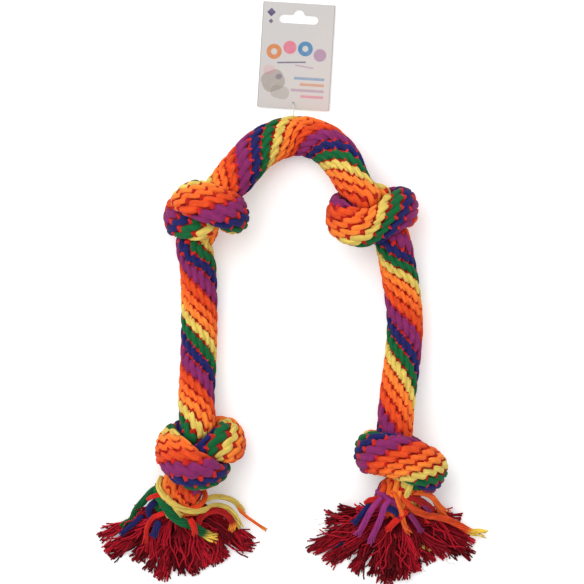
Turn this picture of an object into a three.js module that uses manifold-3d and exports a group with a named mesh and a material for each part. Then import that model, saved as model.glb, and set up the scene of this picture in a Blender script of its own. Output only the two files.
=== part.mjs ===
import * as THREE from "three";
import { mergeVertices } from "three/addons/utils/BufferGeometryUtils.js";
import Module from "manifold-3d";

const wasm = await Module();
wasm.setup();

// Knotted rope dog toy lying on a floor, in mm, Z up. The two legs point to -Y and the card to +Y.
// The origin is on the floor, under the flat-cut rest below the top of the arch.

// Rope
const legRopeRadius = 14.5;
const archRopeRadius = 16.5;
const neckRopeRadius = 14;
const knotOuterRadius = 13.5; // from the rope's middle to the outside of a knot
const knotSideRadius = 18; // across a pass that is squeezed flat in a knot
const passGap = 1.1; // least difference of distance to two passes that press on each other
const nodeGap = 0.3; // between neighbouring solids
const ropeSides = 14;
const knotRingStep = 5.6;
const plainRingStep = 9;
const blendLength = 26; // over which the arch rope thins down to the knot's rope
const bendReach = 12; // nearer than this along the rope, two points are one bend

// The whole rope, in three stretches that meet at the two leg hinges.
const leftLegHinge = [-77, -104, 20];
const rightLegHinge = [83, -104, 21];
const leftNeckHinge = [-92, -288, 21];
const rightNeckHinge = [82, -291, 20];
const archRestPoint = [0, 0, 13.2]; // where the flat-cut rest is
const upperLeftKnotPoints = [
  [-80, -86, 26], [-75, -71, 26], [-79, -57, 30], [-83, -52, 42], [-75, -53, 54], [-61, -57, 56],
  [-50, -61, 46], [-51, -62, 32], [-61, -58, 21], [-73, -57, 14], [-86, -60, 15], [-91, -65, 28],
  [-83, -68, 40], [-70, -65, 43], [-63, -52, 40], [-53, -40, 35],
];
const archTopPoints = [[-42, -27, 30], [-26, -10, 21], archRestPoint, [22, -5, 18], [37, -19, 29]];
const upperRightKnotPoints = [
  [47, -39, 41], [55, -55, 44], [52, -66, 35], [56, -66, 22], [68, -61, 15], [82, -58, 20],
  [86, -59, 34], [77, -64, 45], [64, -70, 50], [50, -73, 53], [39, -67, 47], [41, -58, 36],
  [52, -51, 29], [67, -54, 30], [71, -68, 31], [78, -82, 30],
];
const leftLegPoints = [[-76, -130, 17], [-76, -160, 16], [-77, -190, 19], [-78, -210, 26]];
const lowerLeftKnotPoints = [
  [-77, -226, 32], [-77, -240, 32], [-75, -250, 24], [-69, -259, 22], [-67, -266, 32], [-70, -268, 43],
  [-77, -267, 51], [-84, -264, 53], [-91, -258, 49], [-97, -252, 40], [-96, -248, 28], [-89, -244, 17],
  [-78, -243, 13], [-65, -242, 13], [-55, -242, 15], [-52, -244, 26], [-58, -247, 37], [-69, -253, 38],
  [-79, -263, 34], [-88, -276, 28],
];
const rightLegPoints = [[87, -128, 18], [89, -152, 16], [87, -178, 18], [83, -206, 26]];
const lowerRightKnotPoints = [
  [81, -226, 32], [80, -243, 33], [79, -253, 28], [81, -260, 20], [89, -265, 15], [98, -268, 14],
  [106, -271, 22], [108, -269, 34], [103, -264, 45], [92, -259, 52], [79, -255, 53], [68, -253, 48],
  [61, -253, 37], [64, -252, 24], [73, -251, 16], [83, -253, 15], [91, -258, 21], [94, -266, 30],
  [91, -274, 31], [86, -283, 26],
];
const archRoute = [
  leftLegHinge, ...upperLeftKnotPoints, ...archTopPoints, ...upperRightKnotPoints, rightLegHinge];
const leftLegRoute = [leftLegHinge, ...leftLegPoints, ...lowerLeftKnotPoints, leftNeckHinge];
const rightLegRoute = [rightLegHinge, ...rightLegPoints, ...lowerRightKnotPoints, rightNeckHinge];

// Hinges: the legs turn about Z where they leave the upper knots, the tassels at their necks.
const legOutward = 40;
const legInward = 2;
const tasselOutward = 8;
const tasselInward = 6;
const sweepStep = 14; // degrees between the copies that cut a seat
const seatSweepLength = 40;
const stubBackShare = 0.42; // of the rope's radius, from a hinge back to the end of the stub
const ballRings = 5;

// Tassels: fans of yarn that lie on the floor, each with the loose strands of the unlaid rope.
const fanNeckHeight = 26;
const fanTipHeight = 8;
const fanSetBackShare = 0.25; // of the neck's radius, from the hinge to the middle of the fan
const fanRippleShare = 0.1;
const fanRingShares = [0.16, 0.34, 0.52, 0.7, 0.86, 1];
const tuftNotchShare = 0.93;
const leftFanReach = 73;
const leftFanShares = [
  [-157, 0.7], [-154, 1], [-142, 0.99], [-129, 0.88], [-116, 0.85], [-102, 0.91], [-91, 0.885],
  [-84, 0.88], [-73, 0.845], [-63, 0.855], [-54, 0.82], [-44, 0.93], [-35, 0.97], [-26, 0.96], [-22, 0.7],
];
const rightFanReach = 78;
const rightFanShares = [
  [-172, 0.72], [-169, 0.8], [-161, 0.86], [-153, 0.99], [-140, 1], [-129, 0.92], [-119, 0.82],
  [-108, 0.8], [-99, 0.82], [-89, 0.81], [-81, 0.8], [-74, 0.74], [-66, 0.79], [-54, 0.72],
  [-44, 0.9], [-36, 0.92], [-31, 0.92], [-26, 0.7],
];
const strandRadius = 3;
const strandGap = 0.3;
const strandSegments = 3;
const strandStep = 5;
// Each strand's points from the neck's hinge, as shares of the fan's reach, with their heights.
const leftStrandShares = {
  left_strand_green_long: [
    [-0.205, 0.055, 26], [-0.301, -0.014, 22], [-0.425, -0.082, 16], [-0.493, -0.192, 12],
    [-0.616, -0.342, 11],
  ],
  left_strand_green_front: [
    [-0.219, -0.055, 29], [-0.137, -0.192, 25], [-0.014, -0.288, 22], [0.137, -0.342, 19],
    [0.247, -0.411, 16], [0.37, -0.493, 12],
  ],
  left_strand_yellow_low: [
    [-0.027, -0.137, 32], [0.082, -0.164, 28], [0.247, -0.178, 25], [0.425, -0.151, 20],
    [0.562, -0.247, 16], [0.63, -0.356, 11],
  ],
  left_strand_yellow_high: [
    [0.192, -0.082, 28], [0.301, -0.041, 24], [0.438, 0, 20], [0.562, -0.027, 14], [0.658, -0.11, 10],
    [0.712, -0.233, 6],
  ],
  left_strand_red: [
    [-0.205, -0.219, 26], [-0.301, -0.26, 21], [-0.37, -0.37, 16], [-0.384, -0.521, 11],
  ],
};
const rightStrandShares = {
  right_strand_purple_left: [
    [-0.167, -0.077, 31], [-0.231, -0.141, 28], [-0.282, -0.218, 24], [-0.333, -0.321, 20],
    [-0.372, -0.397, 17],
  ],
  right_strand_purple_right: [
    [-0.064, -0.128, 31], [-0.115, -0.205, 27], [-0.167, -0.321, 22], [-0.231, -0.436, 17],
  ],
  right_strand_orange_down: [
    [0.038, -0.09, 33], [0.077, -0.154, 30], [0.09, -0.231, 26], [0.115, -0.308, 22],
    [0.154, -0.372, 18],
  ],
  right_strand_orange_out: [
    [0.192, -0.218, 27], [0.282, -0.205, 23.5], [0.397, -0.192, 20], [0.538, -0.218, 15],
    [0.679, -0.295, 11], [0.846, -0.385, 8],
  ],
  right_strand_orange_top: [
    [0.115, -0.141, 29], [0.205, -0.096, 27], [0.295, -0.077, 23.5], [0.372, -0.077, 20],
    [0.462, -0.09, 15], [0.538, -0.128, 12],
  ],
};

// Header card: one sheet folded at the top, hung from the rope by a nylon tag pin.
const cardWidth = 58;
const cardHeight = 85;
const cardLeaf = 0.5;
const cardLeafGap = 0.5;
const cardCorner = 0.6;
const cardTurn = -3.5; // degrees about Z
const cardHoleRadius = 0.9;
const cardHoleInset = 4.5; // from the lower edge to the pin's hole
const slotWidth = 32;
const slotHeight = 7;
const slotBumpRadius = 4.5;
const slotBumpRise = 4.4;
const slotDrop = 13; // from the fold to the middle of the slot
const overrun = 2;
const arcSteps = 6;
const cardAcross = -0.5; // X of the pin's hole
const cardAlong = 27; // Y of the pin's hole
const pinPaddleWidth = 8;
const pinPaddleDepth = 3;
const pinPaddleThick = 1;
const paddleLift = 0.2; // above the floor
const filamentRadius = 0.35;
const tBarRadius = 0.6;
const tBarLength = 9;
const pinDepth = 2; // of the T-bar below the rope's outside
const pinLoopHeight = 3; // of the filament above the card's hole
const pinSlotReach = 9;
const pinSlotGap = 0.35;
const cardLift = 115;

const fabric = (colour) => new THREE.MeshStandardMaterial({ color: colour, roughness: 0.95, metalness: 0 });
const ropeFabric = fabric(0xe8642c);
const yarnFabric = fabric(0x8e1424);
const greenFabric = fabric(0x0f7341);
const yellowFabric = fabric(0xe0c850);
const redFabric = fabric(0xc42024);
const purpleFabric = fabric(0x8c2e7c);
const orangeFabric = fabric(0xf0622c);
const cardPaper = new THREE.MeshStandardMaterial({ color: 0xd9d2cb, roughness: 0.8, metalness: 0 });
const nylon = new THREE.MeshStandardMaterial({ color: 0xd0d0d0, roughness: 0.4, metalness: 0 });

const toVector = (p) => new THREE.Vector3(p[0], p[1], p[2]);
const radians = THREE.MathUtils.degToRad;

function solidOf(geometry) {
  const bare = geometry.clone();
  bare.deleteAttribute("normal");
  bare.deleteAttribute("uv");
  const merged = mergeVertices(bare);
  const made = new wasm.Manifold(new wasm.Mesh({
    numProp: 3,
    vertProperties: new Float32Array(merged.attributes.position.array),
    triVerts: new Uint32Array(merged.index.array),
  }));
  if (made.volume() < 0) throw new Error("inside out");
  return made;
}

function geometryOf(solid) {
  const mesh = solid.getMesh();
  const geometry = new THREE.BufferGeometry();
  geometry.setAttribute("position", new THREE.BufferAttribute(mesh.vertProperties, 3));
  geometry.setIndex(new THREE.BufferAttribute(mesh.triVerts, 1));
  geometry.computeVertexNormals();
  return geometry;
}

// A route as evenly spaced samples, with a frame that doesn't twist along the curve.
function routeOf(points) {
  const curve = new THREE.CatmullRomCurve3(points.map(toVector), false, "centripetal");
  const length = curve.getLength();
  const count = Math.round(length);
  const samples = curve.getSpacedPoints(count);
  const tangents = samples.map((p, i) =>
    samples[Math.min(i + 1, count)].clone().sub(samples[Math.max(i - 1, 0)]).normalize());
  const normals = [];
  let normal = new THREE.Vector3(0, 0, 1);
  for (const tangent of tangents) {
    normal = normal.clone().addScaledVector(tangent, -normal.dot(tangent)).normalize();
    normals.push(normal);
  }
  return { samples, tangents, normals, length, step: length / count, count };
}

function sampleAt(route, s) {
  const place = THREE.MathUtils.clamp(s / route.step, 0, route.count);
  const low = Math.min(Math.floor(place), route.count - 1);
  const share = place - low;
  const mix = (list) => list[low].clone().lerp(list[low + 1], share);
  const tangent = mix(route.tangents).normalize();
  return { centre: mix(route.samples), tangent, normal: mix(route.normals), s };
}

// The furthest that a rope's surface goes from its middle in one direction: no nearer to another
// pass of the rope than passGap, not past the inside of a bend and not below the floor.
function reachOf(route, ring, direction, wanted) {
  let reach = wanted;
  for (let i = 0; i <= route.count; i++) {
    if (Math.abs(i * route.step - ring.s) < bendReach) continue;
    const away = ring.centre.clone().sub(route.samples[i]);
    const lean = passGap - away.dot(direction);
    if (lean <= 0) continue;
    reach = Math.min(reach, (away.lengthSq() - passGap * passGap) / (2 * lean));
  }
  if (direction.z < 0) reach = Math.min(reach, ring.centre.z / -direction.z);
  return reach;
}

// Rings of rope surface points. Each ring takes its shape from shape(ring, direction).
function ropeRings(route, places, shape) {
  const rings = places.map(({ s, scale = 1, along = 0 }) => {
    const ring = sampleAt(route, s);
    const side = ring.tangent.clone().cross(ring.normal).normalize();
    const centre = ring.centre.clone().addScaledVector(ring.tangent, along);
    const spokes = [];
    for (let k = 0; k < ropeSides; k++) {
      const angle = (k / ropeSides) * Math.PI * 2;
      const direction = ring.normal.clone().multiplyScalar(Math.cos(angle));
      direction.addScaledVector(side, Math.sin(angle));
      const wanted = shape(ring, direction) * scale;
      const limit = scale < 1 ? wanted : reachOf(route, ring, direction, wanted);
      spokes.push({ direction, limit, reach: limit });
    }
    return { centre, spokes };
  });
  const smooth = rings.map((ring, i) => ring.spokes.map((spoke, k) => {
    const near = [rings[i - 1], rings[i + 1]].filter(Boolean).map((r) => r.spokes[k].limit);
    const beside = [k + 1, k + ropeSides - 1].map((j) => ring.spokes[j % ropeSides].limit);
    const all = near.concat(beside);
    const mean = all.reduce((sum, v) => sum + v, 0) / all.length;
    return Math.min(spoke.limit, (spoke.limit + mean) / 2);
  }));
  return rings.map((ring, i) => ring.spokes.map((spoke, k) => {
    const reach = places[i].scale < 1 ? spoke.limit : smooth[i][k];
    return ring.centre.clone().addScaledVector(spoke.direction, reach);
  }));
}

// Closes rings of points into one solid, with a fan at each end.
function closeRings(rings) {
  const sides = rings[0].length;
  const positions = [];
  const faces = [];
  rings.forEach((ring) => ring.forEach((p) => positions.push(p.x, p.y, p.z)));
  for (const end of [rings[0], rings[rings.length - 1]]) {
    const middle = end.reduce((sum, p) => sum.add(p), new THREE.Vector3()).divideScalar(sides);
    positions.push(middle.x, middle.y, middle.z);
  }
  const first = rings.length * sides;
  for (let i = 0; i + 1 < rings.length; i++) {
    for (let k = 0; k < sides; k++) {
      const a = i * sides + k;
      const b = i * sides + ((k + 1) % sides);
      faces.push(a, b, b + sides, a, b + sides, a + sides);
    }
  }
  const last = (rings.length - 1) * sides;
  for (let k = 0; k < sides; k++) {
    const next = (k + 1) % sides;
    faces.push(first, next, k, first + 1, last + k, last + next);
  }
  const geometry = new THREE.BufferGeometry();
  geometry.setAttribute("position", new THREE.Float32BufferAttribute(positions, 3));
  geometry.setIndex(faces);
  return geometry;
}

// Evenly spaced ring places. Where a stretch meets its neighbour, both end in parallel planes.
function spread(from, to, step, trimStart = 0, trimEnd = 0) {
  const count = Math.max(1, Math.round((to - from) / step));
  const places = Array.from({ length: count + 1 }, (_, i) => ({ s: from + ((to - from) * i) / count }));
  places[0].along = trimStart;
  places[count].along = -trimEnd;
  return places;
}

// A round end whose middle is the hinge at the start of a route.
function ballPlaces(radius) {
  return Array.from({ length: ballRings }, (_, i) => {
    const angle = ((i + 1) / (ballRings + 1)) * (Math.PI / 2);
    return { s: 0, scale: Math.sin(angle), along: -radius * Math.cos(angle) };
  });
}

function knotShape(middle, plain) {
  return (ring, direction) => {
    const radius = plain(ring.s);
    const outward = ring.centre.clone().sub(middle);
    outward.addScaledVector(ring.tangent, -outward.dot(ring.tangent)).normalize();
    const share = outward.dot(direction) ** 2;
    const squeezed = knotSideRadius + (knotOuterRadius - knotSideRadius) * share;
    return radius.plain + (squeezed - radius.plain) * radius.knot;
  };
}

const arch = routeOf(archRoute);
const leftLeg = routeOf(leftLegRoute);
const rightLeg = routeOf(rightLegRoute);

// How far along a route it passes one of its points.
function placeOf(route, point) {
  const target = toVector(point);
  let best = 0;
  route.samples.forEach((p, i) => {
    if (p.distanceTo(target) < route.samples[best].distanceTo(target)) best = i;
  });
  return best * route.step;
}

function middleOf(points) {
  const box = new THREE.Box3().setFromPoints(points.map(toVector));
  return box.getCenter(new THREE.Vector3());
}

const ease = (t) => {
  const u = THREE.MathUtils.clamp(t, 0, 1);
  return u * u * (3 - 2 * u);
};

// How much of a knot's squeezed shape the rope has at s, and its plain radius there.
function ropeProfile(knotSpans, plainRadius) {
  return (s) => {
    let knot = 0;
    for (const [from, to] of knotSpans) {
      knot = Math.max(knot, Math.min(ease((s - from) / blendLength), ease((to - s) / blendLength)));
    }
    return { knot, plain: plainRadius(s) };
  };
}

const archFrom = placeOf(arch, archTopPoints[0]);
const archTo = placeOf(arch, archTopPoints.at(-1));
const archPlain = (s) => {
  const into = Math.min(
    ease((s - archFrom + blendLength) / blendLength),
    ease((archTo + blendLength - s) / blendLength));
  return legRopeRadius + (archRopeRadius - legRopeRadius) * into;
};
const spanOf = (route, points) => [placeOf(route, points[0]), placeOf(route, points.at(-1))];
const archProfile = ropeProfile(
  [spanOf(arch, upperLeftKnotPoints), spanOf(arch, upperRightKnotPoints)], archPlain);
const neckPlain = (route) => (s) => {
  const into = ease((s - route.length + blendLength) / blendLength);
  return legRopeRadius + (neckRopeRadius - legRopeRadius) * into;
};
const leftProfile = ropeProfile([spanOf(leftLeg, lowerLeftKnotPoints)], neckPlain(leftLeg));
const rightProfile = ropeProfile([spanOf(rightLeg, lowerRightKnotPoints)], neckPlain(rightLeg));

const archMiddle = middleOf([upperLeftKnotPoints.at(-1), ...archTopPoints, upperRightKnotPoints[0]]);
const upperLeftMiddle = middleOf(upperLeftKnotPoints);
const upperRightMiddle = middleOf(upperRightKnotPoints);

// Least gap between two passes of one rope, on its surface points and the middles between them.
const selfGaps = [];
function selfGap(rings, places) {
  const dense = rings.map((ring, i) => {
    const points = [];
    ring.forEach((p, k) => {
      const q = ring[(k + 1) % ring.length];
      points.push(p, p.clone().lerp(q, 0.5));
      if (rings[i + 1]) points.push(p.clone().lerp(rings[i + 1][k], 0.5));
    });
    return points;
  });
  let least = Infinity;
  dense.forEach((a, i) => {
    for (let j = i + 1; j < dense.length; j++) {
      if (places[j].s - places[i].s < 2 * bendReach) continue;
      for (const p of a) for (const q of dense[j]) least = Math.min(least, p.distanceToSquared(q));
    }
  });
  return Math.sqrt(least);
}

function ropeStretch(name, route, profile, middle, { from, to, step, trimStart, trimEnd, roundStart }) {
  let places = spread(from, to, step, trimStart, trimEnd);
  if (roundStart) places = ballPlaces(roundStart).concat(places);
  const rings = ropeRings(route, places, knotShape(middle, profile));
  if (places.length > 2 * ropeSides) selfGaps.push(name + " " + selfGap(rings, places).toFixed(2) + " mm");
  return solidOf(closeRings(rings));
}

// The room that a round-ended length of rope needs as it turns about Z through a hinge's range.
function sweptEnd(route, radius, from, to) {
  const grown = (radius + nodeGap) / Math.cos(Math.PI / ropeSides) ** 2;
  const hinge = route.samples[0];
  const ball = new THREE.SphereGeometry(grown, ropeSides, ropeSides / 2);
  const rings = spread(0, seatSweepLength, plainRingStep).map(({ s }) => {
    const ring = sampleAt(route, s);
    const side = ring.tangent.clone().cross(ring.normal).normalize();
    return Array.from({ length: ropeSides }, (_, k) => {
      const angle = (k / ropeSides) * Math.PI * 2;
      const out = ring.normal.clone().multiplyScalar(Math.cos(angle));
      out.addScaledVector(side, Math.sin(angle));
      return ring.centre.clone().sub(hinge).addScaledVector(out, grown);
    });
  });
  const end = solidOf(closeRings(rings));
  const turns = Math.max(1, Math.ceil((to - from) / sweepStep));
  const angles = Array.from({ length: turns + 1 }, (_, i) => from + ((to - from) * i) / turns);
  const copies = angles.map((angle) => end.rotate([0, 0, angle]));
  return wasm.Manifold.hull([solidOf(ball), ...copies]).translate(hinge.toArray());
}

const group = new THREE.Group();
function addMesh(name, geometry, material) {
  const mesh = new THREE.Mesh(geometry, material);
  mesh.name = name;
  group.add(mesh);
}

// Root: the arch and the two upper knots, cut by the seats of the legs and of the tag pin.
const legStub = legRopeRadius * stubBackShare;
const neckStub = neckRopeRadius * stubBackShare;
const halfGap = nodeGap / 2;
const leftSweep = sweptEnd(leftLeg, legRopeRadius, -legOutward, legInward);
const rightSweep = sweptEnd(rightLeg, legRopeRadius, -legInward, legOutward);

const upperLeftKnot = ropeStretch("upper_left_knot", arch, archProfile, upperLeftMiddle,
  { from: legStub, to: archFrom, step: knotRingStep, trimEnd: halfGap }).subtract(leftSweep);
const upperRightKnot = ropeStretch("upper_right_knot", arch, archProfile, upperRightMiddle,
  { from: archTo, to: arch.length - legStub, step: knotRingStep, trimStart: halfGap }).subtract(rightSweep);
let archRope = ropeStretch("arch_rope", arch, archProfile, archMiddle,
  { from: archFrom, to: archTo, step: plainRingStep, trimStart: halfGap, trimEnd: halfGap });

// Tag pin: T-bar inside the rope on the card's hinge, filament, and a paddle behind the card.
const pinHinge = new THREE.Vector3(cardAcross, archRopeRadius - pinDepth, archRestPoint[2]);
const cardBack = paddleLift + pinPaddleThick + nodeGap;
const cardThick = cardLeaf * 2 + cardLeafGap;
const pinTop = cardBack + cardThick + pinLoopHeight;
const pinCurve = new THREE.CatmullRomCurve3([
  pinHinge,
  new THREE.Vector3(cardAcross, (pinHinge.y + cardAlong) / 2, (pinHinge.z + pinTop) / 2),
  new THREE.Vector3(cardAcross, cardAlong - pinLoopHeight / 2, pinTop),
  new THREE.Vector3(cardAcross, cardAlong, pinTop - pinLoopHeight / 2),
  new THREE.Vector3(cardAcross, cardAlong, paddleLift + pinPaddleThick / 2),
], false, "centripetal");
const roundShape = (radius) => new THREE.Shape().absarc(0, 0, radius, 0, Math.PI * 2);
const filament = new THREE.ExtrudeGeometry(roundShape(filamentRadius), {
  steps: arcSteps * 2, curveSegments: strandSegments, extrudePath: pinCurve,
});
const tBar = new THREE.CylinderGeometry(tBarRadius, tBarRadius, tBarLength, arcSteps);
tBar.rotateZ(Math.PI / 2);
tBar.translate(pinHinge.x, pinHinge.y, pinHinge.z);
const paddle = new THREE.BoxGeometry(pinPaddleWidth, pinPaddleDepth, pinPaddleThick);
paddle.translate(cardAcross, cardAlong, paddleLift + pinPaddleThick / 2);
const tagPin = solidOf(filament).add(solidOf(tBar)).add(solidOf(paddle));

// The room that the pin needs in the rope: the T-bar's bore and the filament's swept slot.
const bore = new THREE.CylinderGeometry(
  tBarRadius + pinSlotGap, tBarRadius + pinSlotGap, tBarLength + pinSlotGap * 2, arcSteps * 2);
bore.rotateZ(Math.PI / 2);
bore.translate(pinHinge.x, pinHinge.y, pinHinge.z);
const restAngle = Math.atan2(pinTop - pinHinge.z, cardAlong - pinHinge.y);
const slotMargin = Math.asin(Math.min(1, (filamentRadius + pinSlotGap) / tBarRadius / 2));
const slotShape = new THREE.Shape().moveTo(0, 0);
for (let i = 0; i <= arcSteps * 2; i++) {
  const angle = restAngle - slotMargin + (radians(cardLift) + slotMargin * 2) * (i / (arcSteps * 2));
  slotShape.lineTo(pinSlotReach * Math.cos(angle), pinSlotReach * Math.sin(angle));
}
const pinSlot = new THREE.ExtrudeGeometry(slotShape, {
  depth: (filamentRadius + pinSlotGap) * 2, bevelEnabled: false,
});
pinSlot.translate(0, 0, -(filamentRadius + pinSlotGap));
pinSlot.rotateX(Math.PI / 2);
pinSlot.rotateZ(Math.PI / 2);
pinSlot.translate(pinHinge.x, pinHinge.y, pinHinge.z);
archRope = archRope.subtract(solidOf(bore)).subtract(solidOf(pinSlot));

addMesh("arch_rope", geometryOf(archRope), ropeFabric);
addMesh("upper_left_knot", geometryOf(upperLeftKnot), ropeFabric);
addMesh("upper_right_knot", geometryOf(upperRightKnot), ropeFabric);

// A tassel's fan of yarn: spokes about its neck, a flat underside and a rippled top.
function fanHeight(share) {
  return fanTipHeight + (fanNeckHeight - fanTipHeight) * (1 - share) ** 1.4;
}

function fanSolid(centre, reach, shares) {
  const spokes = [];
  shares.forEach(([angle, share], i) => {
    spokes.push({ angle, share, ripple: 1 + fanRippleShare });
    const next = shares[i + 1];
    if (next) {
      spokes.push({
        angle: (angle + next[0]) / 2,
        share: Math.min(share, next[1]) * tuftNotchShare,
        ripple: 1 - fanRippleShare,
      });
    }
  });
  const positions = [centre.x, centre.y, fanHeight(0), centre.x, centre.y, 0];
  const perSpoke = fanRingShares.length * 2;
  for (const { angle, share, ripple } of spokes) {
    for (const ringShare of fanRingShares) {
      const away = reach * share * ringShare;
      const x = centre.x + away * Math.cos(radians(angle));
      const y = centre.y + away * Math.sin(radians(angle));
      positions.push(x, y, fanHeight(share * ringShare) * (1 + (ripple - 1) * ringShare), x, y, 0);
    }
  }
  const faces = [];
  const top = (i, k) => (k < 0 ? 0 : 2 + i * perSpoke + k * 2);
  const low = (i, k) => top(i, k) + 1;
  const rim = fanRingShares.length - 1;
  for (let i = 0; i + 1 < spokes.length; i++) {
    faces.push(top(i, 0), top(i + 1, 0), 0, low(i + 1, 0), low(i, 0), 1);
    for (let k = 0; k < rim; k++) {
      faces.push(top(i, k), top(i, k + 1), top(i + 1, k + 1), top(i, k), top(i + 1, k + 1), top(i + 1, k));
      faces.push(low(i, k), low(i + 1, k + 1), low(i, k + 1), low(i, k), low(i + 1, k), low(i + 1, k + 1));
    }
    faces.push(top(i, rim), low(i, rim), low(i + 1, rim), top(i, rim), low(i + 1, rim), top(i + 1, rim));
  }
  for (const [i, flip] of [[0, false], [spokes.length - 1, true]]) {
    for (let k = -1; k < rim; k++) {
      const quad = [top(i, k), low(i, k), low(i, k + 1), top(i, k), low(i, k + 1), top(i, k + 1)];
      faces.push(...(flip ? quad.reverse() : quad));
    }
  }
  const geometry = new THREE.BufferGeometry();
  geometry.setAttribute("position", new THREE.Float32BufferAttribute(positions, 3));
  geometry.setIndex(faces);
  return solidOf(geometry);
}

function strandSolid(points, radius) {
  const curve = new THREE.CatmullRomCurve3(points.map(toVector), false, "centripetal");
  const steps = Math.max(2, Math.round(curve.getLength() / strandStep));
  return solidOf(new THREE.ExtrudeGeometry(roundShape(radius), {
    steps, curveSegments: strandSegments, extrudePath: curve,
  }));
}

const strandFabrics = {
  green: greenFabric,
  yellow: yellowFabric,
  red: redFabric,
  purple: purpleFabric,
  orange: orangeFabric,
};

// One side: the leg's rope, its knot, and the tassel that turns at the neck.
function addSide({ side, route, knotPoints, profile, fanReach, fanShares, strandShares, inward, outward }) {
  const knotFrom = placeOf(route, knotPoints[0]);
  const knotMiddle = middleOf(knotPoints);
  const hinge = route.samples[route.count];
  const neckRoute = routeOf([
    hinge.toArray(),
    [hinge.x, hinge.y - neckRopeRadius, hinge.z - neckRopeRadius / 2],
    [hinge.x, hinge.y - neckRopeRadius * 2, hinge.z - neckRopeRadius],
  ]);
  const tasselSweep = sweptEnd(neckRoute, neckRopeRadius, inward, outward);
  const leg = ropeStretch(side + "_leg_rope", route, profile, knotMiddle,
    { from: 0, to: knotFrom, step: plainRingStep, trimEnd: halfGap, roundStart: legRopeRadius });
  const knot = ropeStretch("lower_" + side + "_knot", route, profile, knotMiddle,
    { from: knotFrom, to: route.length - neckStub, step: knotRingStep, trimStart: halfGap })
    .subtract(tasselSweep);
  addMesh(side + "_leg_rope", geometryOf(leg), ropeFabric);
  addMesh("lower_" + side + "_knot", geometryOf(knot), ropeFabric);

  const neckPlaces = ballPlaces(neckRopeRadius).concat(spread(0, neckRopeRadius, plainRingStep));
  const neck = solidOf(closeRings(ropeRings(neckRoute, neckPlaces, () => neckRopeRadius)));
  const fanMiddle = hinge.clone().setY(hinge.y - neckRopeRadius * fanSetBackShare);
  let tassel = fanSolid(fanMiddle, fanReach, fanShares).add(neck);
  for (const [name, shares] of Object.entries(strandShares)) {
    const points = shares.map(([across, along, height]) =>
      [hinge.x + across * fanReach, hinge.y + along * fanReach, height]);
    tassel = tassel.subtract(strandSolid(points, strandRadius + strandGap));
    const colour = name.split("_")[2];
    addMesh(name, geometryOf(strandSolid(points, strandRadius)), strandFabrics[colour]);
  }
  addMesh(side + "_tassel_yarn", geometryOf(tassel), yarnFabric);
}
addSide({
  side: "left", route: leftLeg, knotPoints: lowerLeftKnotPoints, profile: leftProfile,
  fanReach: leftFanReach, fanShares: leftFanShares, strandShares: leftStrandShares,
  inward: -tasselOutward, outward: tasselInward,
});
addSide({
  side: "right", route: rightLeg, knotPoints: lowerRightKnotPoints, profile: rightProfile,
  fanReach: rightFanReach, fanShares: rightFanShares, strandShares: rightStrandShares,
  inward: -tasselInward, outward: tasselOutward,
});

// The folded card, drawn about the pin's hole, with a euro slot and the hole through both leaves.
const cardLow = -cardHoleInset;
const cardTop = cardHeight - cardHoleInset;
const cardShape = new THREE.Shape();
cardShape.moveTo(-cardWidth / 2 + cardCorner, cardLow);
cardShape.absarc(cardWidth / 2 - cardCorner, cardLow + cardCorner, cardCorner, -Math.PI / 2, 0);
cardShape.lineTo(cardWidth / 2, cardTop);
cardShape.lineTo(-cardWidth / 2, cardTop);
cardShape.absarc(-cardWidth / 2 + cardCorner, cardLow + cardCorner, cardCorner, Math.PI, Math.PI * 1.5);
const slotMiddle = cardTop - slotDrop;
const slotEnd = slotWidth / 2 - slotHeight / 2;
const slotHole = new THREE.Path();
slotHole.absarc(slotEnd, slotMiddle, slotHeight / 2, -Math.PI / 2, Math.PI / 2);
slotHole.absellipse(0, slotMiddle + slotHeight / 2, slotBumpRadius, slotBumpRise, 0, Math.PI);
slotHole.absarc(-slotEnd, slotMiddle, slotHeight / 2, Math.PI / 2, Math.PI * 1.5);
const pinHole = new THREE.Path().absarc(0, 0, cardHoleRadius, 0, Math.PI * 2);
cardShape.holes.push(slotHole, pinHole);
const cardBlank = new THREE.ExtrudeGeometry(cardShape, {
  depth: cardThick, bevelEnabled: false, curveSegments: arcSteps,
});
const between = new THREE.BoxGeometry(cardWidth + overrun * 2, cardHeight, cardLeafGap);
between.translate(0, cardLow + cardHeight / 2 - cardLeaf * 2, cardThick / 2);
const card = geometryOf(solidOf(cardBlank).subtract(solidOf(between)));
card.rotateZ(radians(cardTurn));
card.translate(cardAcross, cardAlong, cardBack);
addMesh("header_card", card, cardPaper);
addMesh("tag_pin", geometryOf(tagPin), nylon);

console.log("least gap between passes: " + selfGaps.join(", "));
const ropeLengths = [arch, leftLeg, rightLeg].map((route) => route.length.toFixed(0));
console.log("rope lengths: " + ropeLengths.join(", ") + " mm");
console.log("leg hinges " + [leftLeg, rightLeg].map((r) => r.samples[0].toArray().join(" ")).join("; ")
  + ", neck hinges " + [leftLeg, rightLeg].map((r) => r.samples[r.count].toArray().join(" ")).join("; ")
  + ", card hinge " + pinHinge.toArray().join(" "));

export default group;
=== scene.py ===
"""The looks of a knotted rope dog toy that lies on a floor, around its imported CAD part."""

import math

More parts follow.
